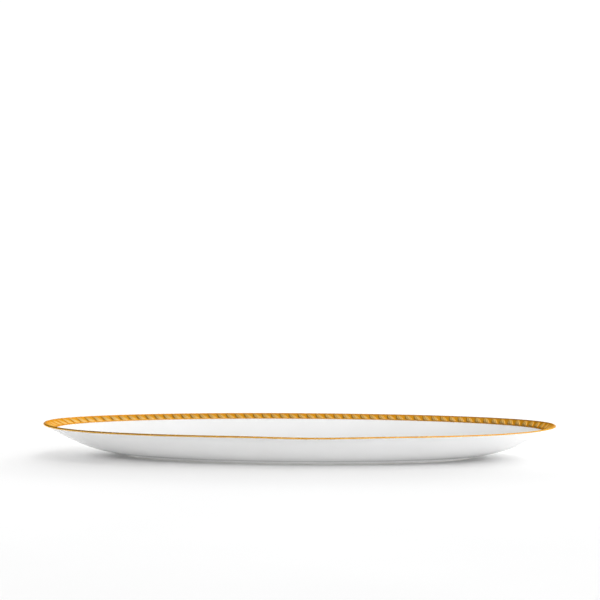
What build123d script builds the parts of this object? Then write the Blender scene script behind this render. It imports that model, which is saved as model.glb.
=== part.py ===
from build123d import *

import os
from bisect import bisect
from math import cos, exp, pi, radians, sin, tan

# Long oval china serving platter with a gilded rope border.
# Millimetres. The origin is on the table under the centre of the oval, +X runs along
# the platter and +Z is up. Negative Y is the front.

# ---- Driving dimensions ----

half_length = 272.5
half_width = 117.0
rim_fullness = 0.037  # the oval swells by this share beyond an ellipse, at its shoulders

rim_height = 33.7  # top of the lip at the middle of a long side
end_lift = 1.2  # the rim sweeps up by this much at both ends
front_sag = 1.1  # the front rim sank by this much in the kiln
front_sag_x = 25.0
front_sag_reach = 52.0

foot_half_length = 184.0
foot_half_width = 74.0
foot_height = 3.3  # of the fired foot, up to the base of the body
foot_thickness = 5.4
foot_draft = 0.9  # each side of the foot leans in by this much
bare_edge_height = 0.8  # the glaze stops this far above the table
bare_edge_bevels = [(0.25, 0.25), (0.9, 0.0)]  # inset and height down to the flat edge

well_half_length = 181.0
well_half_width = 71.0
well_floor = 7.5  # height of the glazed floor above the table

side_flange_slope = radians(21.5)  # fall of the upper face to the well, at a long side
end_flange_slope = radians(29)  # and at an end
side_slope = radians(27)  # fall of the underside from the lip, at a long side
end_slope = radians(30)  # and at an end

glaze_thickness = 0.3
gold_thickness = 0.2
lip_radius = 0.85  # of the glazed lip, inside its gilding
gilded_turn = 0.8  # share of the way round the lip that the gold reaches

band_width = 12.7  # of the gilded band, along the flange
border_width = 0.9
border_rise = 0.42
border_section = [(0, 0), (0.13, 0.7), (0.5, 1), (0.87, 0.7), (1, 0)]  # shares of both
border_margin = 0.1

lobe_count = 126
lobe_lean = radians(61)  # between a lobe and the rim
lobe_bend = 0.3  # how much the two ends of a lobe curl along the rim
lobe_gap = 0.15  # between a lobe and the borders
lobe_lift = 0.02  # thickness of the size that holds a lobe on the gold
lobe_fill = 0.44  # half a lobe's width, as a share of the spacing
lobe_taper = 0.45  # share of that width lost at the ends
lobe_rise = 0.8
strand_edges = [(-1, 0), (-0.7, 0.7), (-0.25, 1), (0.25, 1), (0.7, 0.7), (1, 0)]
# places across a lobe and heights, as shares of half its width and of its rise

ring_points = 72
wall_steps = 8
lip_steps = 8
border_lengths = 4
lobe_sections = 5
arc_samples = 3600


# ---- The rim and the sections that follow it ----


def outline(angle):
    """Point of the rim oval, seen from above."""
    swell = 1 + rim_fullness * sin(2 * angle) ** 2
    return Vector(half_length * cos(angle) * swell, half_width * sin(angle) * swell)


def inward(angle):
    """Level direction from the rim towards the well, square to the oval."""
    swell = 1 + rim_fullness * sin(2 * angle) ** 2
    growth = 2 * rim_fullness * sin(4 * angle)
    along_x = half_length * (growth * cos(angle) - swell * sin(angle))
    along_y = half_width * (growth * sin(angle) + swell * cos(angle))
    return Vector(-along_y, along_x).normalized()


def lip_height(angle):
    """Height of the gilded lip above the table."""
    height = rim_height + end_lift * cos(angle) ** 6
    if sin(angle) < 0:
        offset = (outline(angle).X - front_sag_x) / front_sag_reach
        height -= front_sag * exp(-(offset**2)) * sin(angle) ** 2
    return height


def rim_point(angle, inset, drop):
    """Point at a level distance inside the rim oval and a distance below the lip."""
    place = outline(angle) + inward(angle) * inset
    return Vector(place.X, place.Y, lip_height(angle) - drop)


def lip_section(angle, turn, radius):
    """Inset and drop on the round lip: turn 0 meets the flange, 1 the underside."""
    centre = lip_radius + gold_thickness
    start = flange_slope(angle) - pi / 2
    end = under_slope(angle) - 3 * pi / 2
    direction = start + turn * (end - start)
    return centre + radius * cos(direction), centre + radius * sin(direction)


def flange_section(angle, along, above):
    """Inset and drop at a distance along the flange and above its glaze."""
    centre = lip_radius + gold_thickness
    out = lip_radius + above
    fall = flange_slope(angle)
    inset = centre + along * cos(fall) + out * sin(fall)
    drop = centre + along * sin(fall) - out * cos(fall)
    return inset, drop


def flange_slope(angle):
    """Fall of the upper face where it leaves the lip."""
    return side_flange_slope + (end_flange_slope - side_flange_slope) * cos(angle) ** 2


def under_slope(angle):
    """Fall of the underside where it leaves the lip."""
    return side_slope + (end_slope - side_slope) * cos(angle) ** 2


def band_point(angle, along, above):
    """Point of the gilded band, from its distance along the flange and its height."""
    return rim_point(angle, *flange_section(angle, along, above))


def oval_point(angle, half_long, half_short, height):
    return Vector(half_long * cos(angle), half_short * sin(angle), height)


def foot_point(angle, inset, height):
    return oval_point(angle, foot_half_length - inset, foot_half_width - inset, height)


# ---- Rings, and the skins and solids between them ----


def ring(place):
    """Closed curve right round the platter, through place(angle)."""
    points = [place(2 * pi * i / ring_points) for i in range(ring_points)]
    even = [i / ring_points for i in range(ring_points + 1)]
    return Edge.make_spline(points, periodic=True, parameters=even)


def lip_ring(turn, radius):
    return ring(lambda angle: rim_point(angle, *lip_section(angle, turn, radius)))


def band_ring(along, above):
    return ring(lambda angle: band_point(angle, along, above))


def foot_oval(inset, height):
    """Ring parallel to the foot's outer face."""
    return ring(lambda angle: foot_point(angle, inset, height))


def skin(*rings):
    """Surface through rings: straight between two, smooth through more."""
    if len(rings) == 2:
        return [Face.make_surface_from_curves(rings[0], rings[1])]
    return Shell.make_loft([Wire([edge]) for edge in rings]).faces()


def disc(edge):
    """Flat face that fills a level ring."""
    return [Face(Wire([edge]))]


def annulus(outer, inner):
    """Flat face between two rings of one height."""
    return [Face(Wire([outer]), [Wire([inner])])]


def closed_solid(*skins):
    return Solid(Shell([face for one_skin in skins for face in one_skin]))


def wall_ring(top_point, top_slope, bottom_point, share):
    """Ring part of the way down a wall that leaves top_slope and ends level."""

    def place(angle):
        top = top_point(angle)
        bottom = bottom_point(angle)
        run = Vector(bottom.X - top.X, bottom.Y - top.Y).length
        fall = top.Z - bottom.Z
        start = top_slope(angle) * run / fall
        level = 1 - 3 * share**2 + 2 * share**3 - start * share * (1 - share) ** 2
        across = top + (bottom - top) * share
        return Vector(across.X, across.Y, bottom.Z + fall * level)

    return ring(place)


def wall_rings(top_point, top_slope, bottom_point):
    shares = [step / wall_steps for step in range(wall_steps + 1)]
    return [wall_ring(top_point, top_slope, bottom_point, share) for share in shares]


# ---- Surfaces shared by neighbouring parts; depth is measured below the glaze ----


def lip_rings(radius, last_turn=1):
    """Rings round the lip, from the flange towards the underside."""
    return [lip_ring(last_turn * i / lip_steps, radius) for i in range(lip_steps + 1)]


def inner_wall_rings(depth):
    """Rings from the band's inner edge down to the floor of the well."""
    return wall_rings(
        lambda angle: band_point(angle, band_width, -depth),
        lambda angle: tan(flange_slope(angle)),
        lambda angle: oval_point(
            angle, well_half_length, well_half_width, well_floor - depth
        ),
    )


def outer_wall_rings(depth):
    """Rings from the lip down to the top of the foot."""
    return wall_rings(
        lambda angle: rim_point(angle, *lip_section(angle, 1, lip_radius - depth)),
        lambda angle: tan(under_slope(angle)),
        lambda angle: foot_point(angle, depth, foot_height - glaze_thickness + depth),
    )


def foot_side(inset, lean, height=foot_height):
    """Two rings of one side of the foot: its top and where the glaze stops."""
    return foot_oval(inset, height), foot_oval(inset + lean, bare_edge_height)


def shell_skins(depth):
    """Skins of the platter above the foot, from the well floor round the lip."""
    inner = inner_wall_rings(depth)
    flange_edge = band_ring(0, -depth)
    outer = outer_wall_rings(depth)
    return [
        disc(inner[-1]),
        skin(*inner),
        skin(flange_edge, inner[0]),
        skin(*lip_rings(lip_radius - depth)),
        skin(*outer),
    ]


# ---- Parts ----


def porcelain_body():
    """Fired body: well, wall, flange and lip, with a flat base for the foot."""
    base = foot_oval(glaze_thickness, foot_height)
    return closed_solid(*shell_skins(glaze_thickness), disc(base))


def bare_edge(low, inset, inward_sign):
    """Bevels from the end of the glaze down to the flat edge, and the last ring."""
    rings = [low]
    for bevel_inset, height in bare_edge_bevels:
        rings.append(foot_oval(inset + inward_sign * bevel_inset, height))
    bevels = [skin(rings[i], rings[i + 1]) for i in range(len(rings) - 1)]
    return bevels, rings[-1]


def foot_ring():
    """Fired foot with a bare, bevelled edge that stands on the table."""
    outer_top, outer_low = foot_side(glaze_thickness, foot_draft)
    inner_top, inner_low = foot_side(foot_thickness, -foot_draft)
    outer_bevels, outer_base = bare_edge(outer_low, glaze_thickness + foot_draft, 1)
    inner_bevels, inner_base = bare_edge(inner_low, foot_thickness - foot_draft, -1)
    return closed_solid(
        annulus(outer_top, inner_top),
        skin(outer_top, outer_low),
        *outer_bevels,
        annulus(outer_base, inner_base),
        *inner_bevels,
        skin(inner_low, inner_top),
    )


def glaze_coat():
    """Glaze over the well, the lip, the underside and the outer side of the foot."""
    outer_top, outer_low = foot_side(0, foot_draft, foot_height - glaze_thickness)
    body_top, body_low = foot_side(glaze_thickness, foot_draft)
    return closed_solid(
        *shell_skins(0),
        skin(outer_top, outer_low),
        annulus(outer_low, body_low),
        skin(body_low, body_top),
        *shell_skins(glaze_thickness),
    )


def base_glaze():
    """Glaze over the recessed base inside the foot."""
    body_top, body_low = foot_side(foot_thickness, -foot_draft)
    face_low = foot_oval(
        foot_thickness - foot_draft + glaze_thickness, bare_edge_height
    )
    face_top = foot_oval(
        foot_thickness + glaze_thickness, foot_height - glaze_thickness
    )
    return closed_solid(
        disc(body_top),
        skin(body_top, body_low),
        annulus(body_low, face_low),
        skin(face_low, face_top),
        disc(face_top),
    )


def gilt_lip():
    """Gold wrapped round the lip, seen from the side as a thin line."""
    glaze_side = lip_rings(lip_radius, gilded_turn)
    gold_side = lip_rings(lip_radius + gold_thickness, gilded_turn)
    return closed_solid(
        skin(*gold_side),
        skin(*glaze_side),
        skin(glaze_side[0], gold_side[0]),
        skin(glaze_side[-1], gold_side[-1]),
    )


def gilt_ground():
    """Flat gold of the band, under the rope and its borders."""
    corners = [
        band_ring(0, 0),
        band_ring(0, gold_thickness),
        band_ring(band_width, gold_thickness),
        band_ring(band_width, 0),
    ]
    return closed_solid(*[skin(corners[i - 1], corners[i]) for i in range(4)])


def border(start):
    """Raised line with bevelled sides that runs right round the band, in a few lengths."""
    rings = []
    for across, rise in border_section:
        along = start + border_width * across
        rings.append(band_ring(along, gold_thickness + border_rise * rise))
    faces = []
    for length in range(border_lengths):
        first = length / border_lengths
        last = (length + 1) / border_lengths
        edges = [edge.trim(first, last) for edge in rings]
        for i in range(len(edges)):
            faces += skin(edges[i - 1], edges[i])
    return closed_solid(faces)


def lobe_angle_finder(along):
    """Function that turns a lobe number, whole or not, into its place on the rim."""
    angles = [2 * pi * i / arc_samples for i in range(arc_samples + 1)]
    points = [band_point(angle, along, 0) for angle in angles]
    travelled = [0.0]
    for before, after in zip(points, points[1:]):
        travelled.append(travelled[-1] + (after - before).length)
    spacing = travelled[-1] / lobe_count

    def angle_of(number):
        laps, distance = divmod(number * spacing, travelled[-1])
        i = min(bisect(travelled, distance), arc_samples)
        share = (distance - travelled[i - 1]) / (travelled[i] - travelled[i - 1])
        return 2 * pi * laps + angles[i - 1] + share * (angles[i] - angles[i - 1])

    return angle_of, spacing


def rope_lobes():
    """The rope: one raised, leaning, slightly S-shaped lobe of five strands after another."""
    start = border_margin + border_width + lobe_gap
    middle = band_width / 2
    half_span = middle - start
    base_height = gold_thickness + lobe_lift
    angle_of, spacing = lobe_angle_finder(middle)

    def section(number, side):
        """Flat section across the lobe, from side -1 at the lip to side 1."""
        along = middle + side * half_span
        curl = (side + lobe_bend * side**3) / (1 + lobe_bend)
        centre = number - curl * half_span / tan(lobe_lean) / spacing
        half = lobe_fill * (1 - lobe_taper * side**2)
        rise = lobe_rise * (1 - 0.6 * side**4)
        left = band_point(angle_of(centre - half), along, base_height)
        right = band_point(angle_of(centre + half), along, base_height)
        crown = band_point(angle_of(centre), along, base_height + rise)
        foot = (left + right) / 2
        corners = []
        for across, height in strand_edges:
            corners.append(foot + (right - left) / 2 * across + (crown - foot) * height)
        return Wire.make_polygon(corners)

    sides = [2 * i / (lobe_sections - 1) - 1 for i in range(lobe_sections)]
    return Compound(
        [
            Solid.make_loft([section(number, side) for side in sides])
            for number in range(lobe_count)
        ]
    )


# ---- Write one file for each part ----

parts = {
    "porcelain_body": porcelain_body(),
    "foot_ring": foot_ring(),
    "glaze_coat": glaze_coat(),
    "base_glaze": base_glaze(),
    "gilt_lip": gilt_lip(),
    "gilt_ground": gilt_ground(),
    "outer_border": border(border_margin),
    "inner_border": border(band_width - border_margin - border_width),
    "rope_lobes": rope_lobes(),
}

os.makedirs("parts", exist_ok=True)
for name, shape in parts.items():
    export_step(shape, f"parts/{name}.step")
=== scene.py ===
from math import pi, radians, tan

import bpy
import numpy as np
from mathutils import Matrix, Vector


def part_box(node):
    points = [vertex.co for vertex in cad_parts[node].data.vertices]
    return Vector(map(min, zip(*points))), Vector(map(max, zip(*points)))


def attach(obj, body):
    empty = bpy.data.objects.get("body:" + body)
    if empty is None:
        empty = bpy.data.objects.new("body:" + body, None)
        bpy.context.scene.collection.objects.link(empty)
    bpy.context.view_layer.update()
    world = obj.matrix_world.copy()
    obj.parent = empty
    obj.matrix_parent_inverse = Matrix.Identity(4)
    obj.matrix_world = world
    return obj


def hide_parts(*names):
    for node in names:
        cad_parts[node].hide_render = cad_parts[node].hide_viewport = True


# Looks of a long oval china serving platter with a gilded rope border.
# Metres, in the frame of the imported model: +X along the platter, +Z up, front at -Y.

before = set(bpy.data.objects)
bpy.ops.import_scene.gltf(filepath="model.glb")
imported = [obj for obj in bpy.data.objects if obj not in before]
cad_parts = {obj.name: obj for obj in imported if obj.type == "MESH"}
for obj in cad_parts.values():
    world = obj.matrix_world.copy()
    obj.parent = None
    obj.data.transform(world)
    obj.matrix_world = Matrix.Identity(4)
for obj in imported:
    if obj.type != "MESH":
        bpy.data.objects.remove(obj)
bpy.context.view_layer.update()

# ---- Shape, following the CAD model ----

glaze_thickness = 0.0003
gold_thickness = 0.0002

lip_low, lip_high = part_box("gilt_lip")
half_length = lip_high.x
half_width = lip_high.y
rim_fullness = 0.037  # the oval swells by this share beyond an ellipse, at its shoulders

end_lift = 0.0012  # the rim sweeps up by this much at both ends
rim_height = lip_high.z - end_lift
front_sag = 0.0011  # the front rim sank by this much in the kiln
front_sag_x = 0.025
front_sag_reach = 0.052

foot_low, foot_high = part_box("foot_ring")
foot_half_length = foot_high.x + glaze_thickness
foot_half_width = foot_high.y + glaze_thickness
foot_height = foot_high.z
foot_thickness = 0.0054
foot_draft = 0.0009  # each side of the foot leans in by this much
bare_edge_height = 0.0008  # the glaze stops this far above the table
bare_edge_round = 0.0009
base_corner_round = 0.0012  # where the recessed base meets the foot

well_half_length = 0.181
well_half_width = 0.071
well_floor = 0.0075
floor_sag = 0.00015

side_flange_slope = radians(21.5)  # fall of the upper face to the well, at a long side
end_flange_slope = radians(29)  # and at an end
side_slope = radians(27)  # fall of the underside from the lip, at a long side
end_slope = radians(30)  # and at an end

lip_radius = 0.00085  # of the glazed lip, inside its gilding
gilded_turn = 0.8  # share of the way round the lip that the gold reaches
gilding_drift = 0.17  # how much further it reaches at the left end
gilding_waves = ((0.015, 23, 0), (0.01, 57, 1))  # size, count and start of its waver

band_width = 0.0127  # of the gilded band, along the flange
border_width = 0.0009
border_rise = 0.00042
border_margin = 0.0001

lobe_count = 126
lobe_lean = radians(61)  # between a lobe and the rim
lobe_bend = 0.3  # how much its two ends curl along the rim
lobe_gap = 0.00015  # between a lobe and the borders
lobe_lift = 0.00002  # thickness of the size that holds a lobe on the gold
lobe_fill = 0.34  # half its width, as a share of the spacing
lobe_swell = 0.35  # how much wider and higher a lobe is at its inner end
lobe_rise = 0.0008
lobe_reach = 0.997  # share of the space between the borders that it spans
threads_per_lobe = 3
thread_depth = 0.00025

# ---- Finishes: the two colours that each surface wanders between ----

glaze_colours = ((0.9, 0.9, 0.895), (0.93, 0.93, 0.93))
bisque_colours = ((0.74, 0.72, 0.68), (0.86, 0.85, 0.82))
body_colours = ((0.8, 0.79, 0.76), (0.88, 0.87, 0.85))
burnished_colours = ((0.8, 0.42, 0.06), (0.94, 0.54, 0.12))
# The groove colours are a painted-shade copy of the gold, deeper for the grooves and the band
# ground between the lobes; the crest colours are a painted-highlight copy, paler for the
# crests.
painted_shade_groove_colours = ((0.88, 0.4, 0.03), (0.98, 0.47, 0.05))
painted_highlight_crest_colours = ((0.9, 0.55, 0.16), (0.98, 0.64, 0.24))
floor_colours = ((0.87, 0.87, 0.87), (0.89, 0.89, 0.89))
gold_edge = (1.0, 0.72, 0.3, 1.0)  # tint of gold at a grazing angle

# ---- Studio ----

camera_turn = radians(4.05)  # round to the right of straight in front
camera_rise = radians(6.18)  # above the table
camera_distance = 2.725
camera_lens = 153.7
camera_centre = (0, 0, rim_height + 0.0005)  # what the camera turns round
camera_aim = (0.0017, 0, 0.132)  # from there to where it looks

floor_half_size = 2.2

sky_left = 0.17
sky_right = 1.12
sky_turn = (-0.6, 0.4)  # directions along X between which it brightens
backdrop_level = 1.04
backdrop_edge = (0.06, 0.12)  # heights at which the white backdrop fades into the sky

# Soft lights that the gloss doesn't mirror: place, width, height and power
soft_lights = {
    "back_light": ((1.5, 6.0, 1.35), 7.0, 1.65, 300),
    "back_left_light": ((-3.0, 5.0, 1.2), 4.0, 1.2, 50),
    "high_light": ((0.8, 2.5, 2.0), 2.5, 1.5, 16),
    "top_light": ((0, 0, 3.0), 2.5, 2.0, 14),
    "right_light": ((4.0, 0.3, 0.6), 3.5, 0.8, 25),
    "front_right_light": ((3.2, -2.4, 0.45), 2.6, 0.6, 52),
    "left_light": ((-3.0, -0.3, 0.35), 3.0, 0.5, 40),
    "front_left_light": ((-2.6, -2.2, 1.6), 2.5, 1.2, 5),
}

# ---- Mesh fineness ----

stations = 900
wall_rings = 44
lip_rings = 18
floor_rings = 14
lobe_rows = 37
lobe_columns = 33
rim_samples = 7201


# ---- The rim and the sections that follow it; every function takes arrays ----


def outline(angle):
    swell = 1 + rim_fullness * np.sin(2 * angle) ** 2
    return half_length * np.cos(angle) * swell, half_width * np.sin(angle) * swell


def inward(angle):
    """Level unit direction from the rim towards the well."""
    swell = 1 + rim_fullness * np.sin(2 * angle) ** 2
    growth = 2 * rim_fullness * np.sin(4 * angle)
    along_x = half_length * (growth * np.cos(angle) - swell * np.sin(angle))
    along_y = half_width * (growth * np.sin(angle) + swell * np.cos(angle))
    length = np.hypot(along_x, along_y)
    return -along_y / length, along_x / length


def lip_height(angle):
    offset = (outline(angle)[0] - front_sag_x) / front_sag_reach
    sag = front_sag * np.exp(-(offset**2)) * np.minimum(np.sin(angle), 0) ** 2
    return rim_height + end_lift * np.cos(angle) ** 6 - sag


def rim_point(angle, inset, drop):
    x, y = outline(angle)
    inward_x, inward_y = inward(angle)
    z = lip_height(angle) - drop
    return np.stack(np.broadcast_arrays(x + inward_x * inset, y + inward_y * inset, z), -1)


def flange_slope(angle):
    return side_flange_slope + (end_flange_slope - side_flange_slope) * np.cos(angle) ** 2


def under_slope(angle):
    return side_slope + (end_slope - side_slope) * np.cos(angle) ** 2


def lip_point(angle, turn, radius):
    """Point on the round lip: turn 0 meets the flange, 1 the underside."""
    centre = lip_radius + gold_thickness
    start = flange_slope(angle) - pi / 2
    direction = start + turn * (under_slope(angle) - 3 * pi / 2 - start)
    inset = centre + radius * np.cos(direction)
    return rim_point(angle, inset, centre + radius * np.sin(direction))


def band_point(angle, along, above):
    """Point at a distance along the flange and a height above its glaze."""
    centre = lip_radius + gold_thickness
    out = lip_radius + above
    fall = flange_slope(angle)
    inset = centre + along * np.cos(fall) + out * np.sin(fall)
    drop = centre + along * np.sin(fall) - out * np.cos(fall)
    return rim_point(angle, inset, drop)


def oval_point(angle, half_long, half_short, height):
    x = half_long * np.cos(angle)
    y = half_short * np.sin(angle)
    return np.stack([x, y, np.full_like(x, height)], -1)


def foot_point(angle, inset, height):
    return oval_point(angle, foot_half_length - inset, foot_half_width - inset, height)


def wall_point(top, slope, bottom, share):
    """Points part of the way down a wall that leaves its top at slope and ends level."""
    run = np.hypot(bottom[..., 0] - top[..., 0], bottom[..., 1] - top[..., 1])
    fall = top[..., 2] - bottom[..., 2]
    start = slope * run / fall
    level = 1 - 3 * share**2 + 2 * share**3 - start * share * (1 - share) ** 2
    points = top + (bottom - top) * share
    points[..., 2] = bottom[..., 2] + fall * level
    return points


# ---- Mesh building ----


def make_piece(name, points, quads, extra_faces, material, node):
    """Smooth mesh object that rides on the platter and stands for one CAD node."""
    mesh = bpy.data.meshes.new(name)
    faces = [tuple(quad) for quad in quads.tolist()] + extra_faces
    mesh.from_pydata(points.tolist(), [], faces)
    mesh.validate()
    mesh.shade_smooth()
    mesh.materials.append(material)
    piece = bpy.data.objects.new(name, mesh)
    bpy.context.scene.collection.objects.link(piece)
    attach(piece, "root")
    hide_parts(node)
    return piece


def ring_quads(ring_count, closed):
    """Quads between rings of stations; a closed section joins its last ring to the first."""
    rows = np.arange(ring_count if closed else ring_count - 1)[:, None]
    columns = np.arange(stations)[None, :]
    next_rows = (rows + 1) % ring_count
    next_columns = (columns + 1) % stations
    corners = [
        rows * stations + columns,
        next_rows * stations + columns,
        next_rows * stations + next_columns,
        rows * stations + next_columns,
    ]
    return np.stack(np.broadcast_arrays(*corners), -1).reshape(-1, 4)


def fan(ring_start, centre, reverse):
    """Triangles from one ring to a centre point."""
    faces = []
    for station in range(stations):
        here = ring_start + station
        following = ring_start + (station + 1) % stations
        faces.append((following, here, centre) if reverse else (here, following, centre))
    return faces


def ring_piece(name, rings, material, node):
    """Piece with a closed section swept right round the platter."""
    points = np.concatenate(rings)
    return make_piece(name, points, ring_quads(len(rings), True), [], material, node)


def capped_piece(name, rings, first_centre, last_centre, material, node):
    """Piece whose first and last rings are filled to a centre point."""
    points = np.concatenate(rings + [np.array([first_centre, last_centre])])
    first = len(rings) * stations
    caps = fan(0, first, False) + fan((len(rings) - 1) * stations, first + 1, True)
    return make_piece(name, points, ring_quads(len(rings), False), caps, material, node)


# ---- Pieces ----

around = np.linspace(0, 2 * pi, stations, endpoint=False)


def floor_points(depth, ring_count):
    """Rings of the well floor, from near its centre out to its edge."""
    rings = []
    for share in np.linspace(0, 1, ring_count + 1)[1:]:
        height = well_floor - depth - floor_sag * (1 - share**2) ** 2
        rings.append(
            oval_point(around, well_half_length * share, well_half_width * share, height)
        )
    return rings


def shell_points(depth, fineness):
    """Rings from the middle of the well, round the lip, down to the top of the foot."""
    rings = floor_points(depth, max(3, int(floor_rings * fineness)))
    wall_count = max(8, int(wall_rings * fineness))
    flange_edge = band_point(around, band_width, -depth)
    well_edge = rings[-1]
    slope = np.tan(flange_slope(around))
    for share in np.linspace(1, 0, wall_count)[1:]:
        rings.append(wall_point(flange_edge, slope, well_edge, share))
    for along in np.linspace(band_width, 0, 5)[1:-1]:
        rings.append(band_point(around, along, -depth))
    for turn in np.linspace(0, 1, lip_rings):
        rings.append(lip_point(around, turn, lip_radius - depth))
    foot_top = foot_point(around, depth, foot_height - glaze_thickness + depth)
    slope = np.tan(under_slope(around))
    lip_edge = rings[-1]
    for share in np.linspace(0, 1, wall_count)[1:]:
        rings.append(wall_point(lip_edge, slope, foot_top, share))
    return rings


def glaze_piece(material):
    outer = shell_points(0, 1)
    for share in (0.5, 1):
        height = foot_height - glaze_thickness
        height += (bare_edge_height - height) * share
        outer.append(foot_point(around, foot_draft * share, height))
    inner = shell_points(glaze_thickness, 0.3)
    inner.append(foot_point(around, glaze_thickness + foot_draft, bare_edge_height))
    first_centre = (0, 0, well_floor - floor_sag)
    last_centre = (0, 0, well_floor - floor_sag - glaze_thickness)
    rings = outer + inner[::-1]
    return capped_piece(
        "glaze_skin", rings, first_centre, last_centre, material, "glaze_coat"
    )


def base_glaze_piece(material):
    """Glaze on the recessed base, with a soft corner where it meets the foot."""
    face_inset = foot_thickness + glaze_thickness
    face_height = foot_height - glaze_thickness
    corner = base_corner_round
    hidden = [
        foot_point(around, foot_thickness, foot_height),
        foot_point(around, foot_thickness - foot_draft, bare_edge_height),
    ]
    face = [foot_point(around, face_inset - foot_draft, bare_edge_height)]
    for turn in np.linspace(0, pi / 2, 8):
        inset = face_inset + corner * (1 - np.cos(turn))
        height = face_height - corner * (1 - np.sin(turn))
        face.append(foot_point(around, inset, height))
    last_long = foot_half_length - face_inset - corner
    last_short = foot_half_width - face_inset - corner
    for share in np.linspace(1, 0, floor_rings + 1)[1:-1]:
        face.append(oval_point(around, last_long * share, last_short * share, face_height))
    first_centre = (0, 0, foot_height)
    last_centre = (0, 0, face_height)
    return capped_piece(
        "base_glaze_skin",
        hidden + face,
        first_centre,
        last_centre,
        material,
        "base_glaze",
    )


def foot_piece(material):
    """Foot with a rubbed, rounded standing edge."""
    outer = glaze_thickness
    inner = foot_thickness
    rings = [foot_point(around, outer, foot_height)]
    for turn in np.linspace(0, pi / 2, 7):
        inset = outer + foot_draft + bare_edge_round * (1 - np.cos(turn))
        rings.append(foot_point(around, inset, bare_edge_height * (1 - np.sin(turn))))
    for turn in np.linspace(pi / 2, 0, 7):
        inset = inner - foot_draft - bare_edge_round * (1 - np.cos(turn))
        rings.append(foot_point(around, inset, bare_edge_height * (1 - np.sin(turn))))
    rings.append(foot_point(around, inner, foot_height))
    return ring_piece("foot_bisque", rings[::-1], material, "foot_ring")


def lip_piece(material):
    """Gilding round the lip, with the slightly uneven lower edge of brushed gold."""
    waver = sum(size * np.sin(count * around + start) for size, count, start in gilding_waves)
    last_turn = gilded_turn - gilding_drift * np.cos(around) + waver
    gold_side = []
    glaze_side = []
    for share in np.linspace(0, 1, lip_rings):
        turn = share * last_turn
        gold_side.append(lip_point(around, turn, lip_radius + gold_thickness))
        glaze_side.append(lip_point(around, turn, lip_radius))
    rings = gold_side + glaze_side[::-1]
    return ring_piece("lip_gilding", rings, material, "gilt_lip")


def ground_piece(material):
    rings = [band_point(around, along, 0) for along in np.linspace(0, band_width, 3)]
    for along in np.linspace(band_width, 0, 13):
        rings.append(band_point(around, along, gold_thickness))
    return ring_piece("band_gilding", rings, material, "gilt_ground")


def border_piece(name, start, material, node):
    rings = []
    for turn in np.linspace(0, pi, 11):
        along = start + border_width * (1 + np.cos(turn)) / 2
        rings.append(band_point(around, along, gold_thickness + border_rise * np.sin(turn)))
    return ring_piece(name, rings, material, node)


def lobe_places(numbers, along):
    """Angles on the rim of lobe numbers, whole or not, and the spacing of the lobes."""
    angles = np.linspace(0, 2 * pi, rim_samples)
    points = band_point(angles, along, 0)
    steps = np.linalg.norm(np.diff(points, axis=0), axis=1)
    travelled = np.concatenate([[0], np.cumsum(steps)])
    spacing = travelled[-1] / lobe_count
    laps, rest = np.divmod(numbers, lobe_count)
    return 2 * pi * laps + np.interp(rest * spacing, travelled, angles), spacing


def rope_piece(material):
    """Every lobe of the rope: a leaning S-shaped bundle of fine threads."""
    start = border_margin + border_width + lobe_gap
    middle = band_width / 2
    half_span = middle - start
    spacing = lobe_places(np.zeros(1), middle)[1]
    number = np.arange(lobe_count)[:, None, None]
    side = np.sin(np.linspace(-pi / 2, pi / 2, lobe_rows))[None, :, None] * lobe_reach
    across = np.linspace(-1, 1, lobe_columns)[None, None, :]
    curl = (side + lobe_bend * side**3) / (1 + lobe_bend)
    centre = number - curl * half_span / tan(lobe_lean) / spacing
    swell = 1 + lobe_swell * side
    half = lobe_fill * swell * np.sqrt(1 - side**6)  # full width almost to its blunt ends
    angle = lobe_places(centre + half * across, middle)[0]
    end_round = np.sqrt(1 - side**2)
    crown = lobe_rise * swell * end_round**0.7 * (1 - np.abs(across) ** 2.5) ** 0.6
    thread = np.abs(np.sin(pi * threads_per_lobe * (across + 1) / 2))
    groove = thread_depth * (1 - np.sqrt(thread)) * end_round
    groove = np.minimum(groove, crown)
    above = gold_thickness + lobe_lift + crown - groove
    points = band_point(angle, middle + side * half_span, above)
    depth_share = (crown - groove) / lobe_rise
    return closed_lobes(points, depth_share, material)


def closed_lobes(points, depth_share, material):
    """One mesh of closed lobes from an array of points by lobe, row and column."""
    count, rows, columns, _ = points.shape
    index = np.arange(count * rows * columns).reshape(count, rows, columns)
    top = np.stack(
        [index[:, :-1, :-1], index[:, :-1, 1:], index[:, 1:, 1:], index[:, 1:, :-1]], -1
    ).reshape(-1, 4)
    base = np.stack(
        [index[:, :-1, -1], index[:, :-1, 0], index[:, 1:, 0], index[:, 1:, -1]], -1
    ).reshape(-1, 4)
    ends = []
    for lobe in index:
        ends.append(tuple(lobe[0, ::-1].tolist()))
        ends.append(tuple(lobe[-1].tolist()))
    quads = np.concatenate([top, base])
    piece = make_piece(
        "rope", points.reshape(-1, 3), quads, ends, material, "rope_lobes"
    )
    crest = piece.data.attributes.new("crest", "FLOAT", "POINT")
    values = np.broadcast_to(depth_share, points.shape[:3])
    crest.data.foreach_set("value", values.reshape(-1).astype(np.float32))
    return piece


# ---- Materials ----


def new_material(name):
    material = bpy.data.materials.new(name)
    material.use_nodes = True
    tree = material.node_tree
    shader = tree.nodes["Principled BSDF"]
    return material, tree, shader


def add_noise(tree, scale, detail):
    """Noise in the object's own metres: its features are about 1 / scale across."""
    place = tree.nodes.new("ShaderNodeTexCoord")
    noise = tree.nodes.new("ShaderNodeTexNoise")
    noise.inputs["Scale"].default_value = scale
    noise.inputs["Detail"].default_value = detail
    tree.links.new(place.outputs["Object"], noise.inputs["Vector"])
    return noise.outputs["Fac"]


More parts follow.
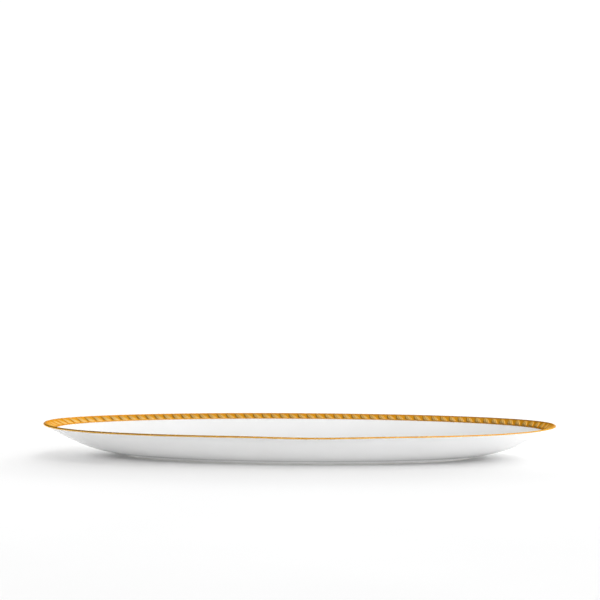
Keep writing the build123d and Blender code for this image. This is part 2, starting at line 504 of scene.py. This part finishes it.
def add_ramp(tree, source, low, high, colours):
    """Colour that goes from the first to the second as source goes from low to high."""
    start, end = colours
    ramp = tree.nodes.new("ShaderNodeValToRGB")
    ramp.color_ramp.elements[0].position = low
    ramp.color_ramp.elements[0].color = (*start, 1)
    ramp.color_ramp.elements[1].position = high
    ramp.color_ramp.elements[1].color = (*end, 1)
    tree.links.new(source, ramp.inputs["Fac"])
    return ramp.outputs["Color"]


def add_range(tree, source, low, high, start, end):
    """Value that goes from start to end as source goes from low to high."""
    node = tree.nodes.new("ShaderNodeMapRange")
    node.inputs["From Min"].default_value = low
    node.inputs["From Max"].default_value = high
    node.inputs["To Min"].default_value = start
    node.inputs["To Max"].default_value = end
    tree.links.new(source, node.inputs["Value"])
    return node.outputs["Result"]


def add_bump(tree, source, height, below=None):
    node = tree.nodes.new("ShaderNodeBump")
    node.inputs["Strength"].default_value = 1.0
    node.inputs["Distance"].default_value = height
    tree.links.new(source, node.inputs["Height"])
    if below is not None:
        tree.links.new(below, node.inputs["Normal"])
    return node.outputs["Normal"]


def mix_colours(tree, share, first, second):
    first_colour, second_colour, mixed_colour = 6, 7, 2  # this node's colour sockets
    node = tree.nodes.new("ShaderNodeMix")
    node.data_type = "RGBA"
    tree.links.new(share, node.inputs["Factor"])
    tree.links.new(first, node.inputs[first_colour])
    tree.links.new(second, node.inputs[second_colour])
    return node.outputs[mixed_colour]


def china_material():
    """White china under a clear gloss glaze, with faint pooling and orange peel."""
    material, tree, shader = new_material("glazed_china")
    cloud = add_noise(tree, scale=14, detail=2)
    colour = add_ramp(tree, cloud, 0.35, 0.7, glaze_colours)
    tree.links.new(colour, shader.inputs["Base Color"])
    shader.inputs["Roughness"].default_value = 0.3
    shader.inputs["Specular IOR Level"].default_value = 0.3
    shader.inputs["Subsurface Weight"].default_value = 0.2
    shader.inputs["Subsurface Radius"].default_value = (1.0, 0.95, 0.9)
    shader.inputs["Subsurface Scale"].default_value = 0.002
    shader.inputs["Coat Weight"].default_value = 1.0
    shader.inputs["Coat IOR"].default_value = 1.5
    smear = add_noise(tree, scale=40, detail=4)
    gloss = add_range(tree, smear, 0.3, 0.7, 0.03, 0.07)
    tree.links.new(gloss, shader.inputs["Coat Roughness"])
    swell = add_bump(tree, add_noise(tree, scale=60, detail=1), height=0.00006)
    peel = add_bump(tree, add_noise(tree, scale=420, detail=2), height=0.000004, below=swell)
    tree.links.new(peel, shader.inputs["Coat Normal"])
    tree.links.new(swell, shader.inputs["Normal"])
    return material


def bisque_material():
    """Bare fired clay of the standing edge: matte, gritty and a little rubbed."""
    material, tree, shader = new_material("bisque")
    rub = add_noise(tree, scale=90, detail=5)
    colour = add_ramp(tree, rub, 0.35, 0.65, bisque_colours)
    tree.links.new(colour, shader.inputs["Base Color"])
    shader.inputs["Roughness"].default_value = 0.85
    grit = add_bump(tree, add_noise(tree, scale=2500, detail=3), height=0.00004)
    tree.links.new(grit, shader.inputs["Normal"])
    return material


def gold_material(name, colours, gloss_range):
    """Brushed-on gilding, a little thinner and redder in places."""
    material, tree, shader = new_material(name)
    cloud = add_noise(tree, scale=130, detail=4)
    colour = add_ramp(tree, cloud, 0.3, 0.7, colours)
    tree.links.new(colour, shader.inputs["Base Color"])
    shader.inputs["Metallic"].default_value = 1.0
    shader.inputs["Specular Tint"].default_value = gold_edge
    smear = add_noise(tree, scale=150, detail=3)
    gloss = add_range(tree, smear, 0.3, 0.7, *gloss_range)
    tree.links.new(gloss, shader.inputs["Roughness"])
    strokes = add_bump(tree, add_noise(tree, scale=900, detail=3), height=0.000004)
    tree.links.new(strokes, shader.inputs["Normal"])
    return material


def relief_gold_material():
    """Gold over the raised rope: burnished crests and dull grooves, with painted highlight
    paler on the crests and painted shade deeper in the grooves.
    """
    material, tree, shader = new_material("relief_gold")
    crest = tree.nodes.new("ShaderNodeAttribute")
    crest.attribute_name = "crest"
    height = crest.outputs["Fac"]
    cloud = add_noise(tree, scale=200, detail=4)
    bright = add_ramp(tree, cloud, 0.3, 0.7, painted_highlight_crest_colours)
    deep = add_ramp(tree, cloud, 0.3, 0.7, painted_shade_groove_colours)
    # Colour follows the height: painted shade deepens the grooves and painted highlight pales
    # the crests; the roughness below is the real burnish.
    share = add_range(tree, height, 0.15, 0.85, 0, 1)
    tree.links.new(mix_colours(tree, share, deep, bright), shader.inputs["Base Color"])
    shader.inputs["Metallic"].default_value = 1.0
    shader.inputs["Specular Tint"].default_value = gold_edge
    gloss = add_range(tree, height, 0.1, 0.9, 0.5, 0.24)
    tree.links.new(gloss, shader.inputs["Roughness"])
    grain = add_bump(tree, add_noise(tree, scale=2600, detail=3), height=0.00001)
    tree.links.new(grain, shader.inputs["Normal"])
    return material


def hidden_bisque_material():
    """Fired body under the glaze."""
    material, tree, shader = new_material("body_bisque")
    cloud = add_noise(tree, scale=60, detail=4)
    colour = add_ramp(tree, cloud, 0.3, 0.7, body_colours)
    tree.links.new(colour, shader.inputs["Base Color"])
    shader.inputs["Roughness"].default_value = 0.8
    return material


def floor_material():
    material, tree, shader = new_material("studio_floor")
    cloud = add_noise(tree, scale=3, detail=2)
    colour = add_ramp(tree, cloud, 0.3, 0.7, floor_colours)
    tree.links.new(colour, shader.inputs["Base Color"])
    shader.inputs["Roughness"].default_value = 1.0
    shader.inputs["Specular IOR Level"].default_value = 0.0
    return material


# ---- Studio ----


def aim(thing, place, target):
    """Puts a light or camera at place, looking at target."""
    thing.location = place
    direction = Vector(target) - Vector(place)
    thing.rotation_mode = "QUATERNION"
    thing.rotation_quaternion = direction.to_track_quat("-Z", "Y")


def add_camera():
    """Long lens, low down in front and a few degrees round to the right."""
    level = np.cos(camera_rise)
    back = np.array(
        [np.sin(camera_turn) * level, -np.cos(camera_turn) * level, np.sin(camera_rise)]
    )
    centre = np.array(camera_centre)
    place = centre + camera_distance * back
    target = centre + np.array(camera_aim)
    camera = bpy.data.cameras.new("camera")
    camera.lens = camera_lens
    camera.sensor_width = 36
    camera.clip_end = 50
    holder = bpy.data.objects.new("camera", camera)
    bpy.context.scene.collection.objects.link(holder)
    aim(holder, place, target)
    bpy.context.scene.camera = holder


def add_softbox(name, place, width, height, power):
    """Large soft light that faces the platter and that the gloss and camera don't see."""
    light = bpy.data.lights.new(name, "AREA")
    light.shape = "RECTANGLE"
    light.size = width
    light.size_y = height
    light.energy = power
    holder = bpy.data.objects.new(name, light)
    bpy.context.scene.collection.objects.link(holder)
    aim(holder, place, target=(0, 0, 0))
    holder.visible_glossy = False
    holder.visible_camera = False


def add_floor():
    half = floor_half_size
    corners = [(-half, -half, 0), (half, -half, 0), (half, half, 0), (-half, half, 0)]
    mesh = bpy.data.meshes.new("studio_floor")
    mesh.from_pydata(corners, [], [(0, 1, 2, 3)])
    mesh.materials.append(floor_material())
    floor = bpy.data.objects.new("studio_floor", mesh)
    bpy.context.scene.collection.objects.link(floor)


def add_math(tree, operation, first, second):
    """Math node on two sockets or numbers."""
    node = tree.nodes.new("ShaderNodeMath")
    node.operation = operation
    for socket, value in zip(node.inputs, (first, second)):
        if isinstance(value, (int, float)):
            socket.default_value = value
        else:
            tree.links.new(value, socket)
    return node.outputs["Value"]


def add_world():
    """Plain sky, bright to the right and darker to the left, over a white backdrop."""
    world = bpy.data.worlds.new("studio")
    bpy.context.scene.world = world
    world.use_nodes = True
    tree = world.node_tree
    background = tree.nodes["Background"]
    background.inputs["Color"].default_value = (1, 1, 1, 1)
    place = tree.nodes.new("ShaderNodeTexCoord")
    axes = tree.nodes.new("ShaderNodeSeparateXYZ")
    tree.links.new(place.outputs["Generated"], axes.inputs["Vector"])
    sky = add_range(tree, axes.outputs["X"], *sky_turn, sky_left, sky_right)
    sky.node.interpolation_type = "SMOOTHSTEP"
    above = add_range(tree, axes.outputs["Z"], *backdrop_edge, 0, 1)
    difference = add_math(tree, "SUBTRACT", sky, backdrop_level)
    blend = add_math(tree, "MULTIPLY", difference, above)
    strength = add_math(tree, "ADD", blend, backdrop_level)
    tree.links.new(strength, background.inputs["Strength"])


def add_studio():
    add_floor()
    add_world()
    for name, (place, width, height, power) in soft_lights.items():
        add_softbox(name, place, width, height, power)
    bpy.context.scene.view_settings.view_transform = "Standard"


# ---- Build ----

china = china_material()
burnished_gold = gold_material("burnished_gold", burnished_colours, gloss_range=(0.2, 0.3))
# The band's ground gold takes the groove colours: painted shade where it lies between the
# lobes.
shaded_groove_gold = gold_material("shaded_groove_gold", painted_shade_groove_colours, gloss_range=(0.34, 0.46))
relief_gold = relief_gold_material()

glaze_piece(china)
base_glaze_piece(china)
foot_piece(bisque_material())
lip_piece(burnished_gold)
ground_piece(shaded_groove_gold)
border_piece("outer_border_gilding", border_margin, burnished_gold, "outer_border")
border_piece(
    "inner_border_gilding",
    band_width - border_margin - border_width,
    burnished_gold,
    "inner_border",
)
rope_piece(relief_gold)

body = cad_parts["porcelain_body"]
body.data.materials.clear()
body.data.materials.append(hidden_bisque_material())

add_camera()
add_studio()
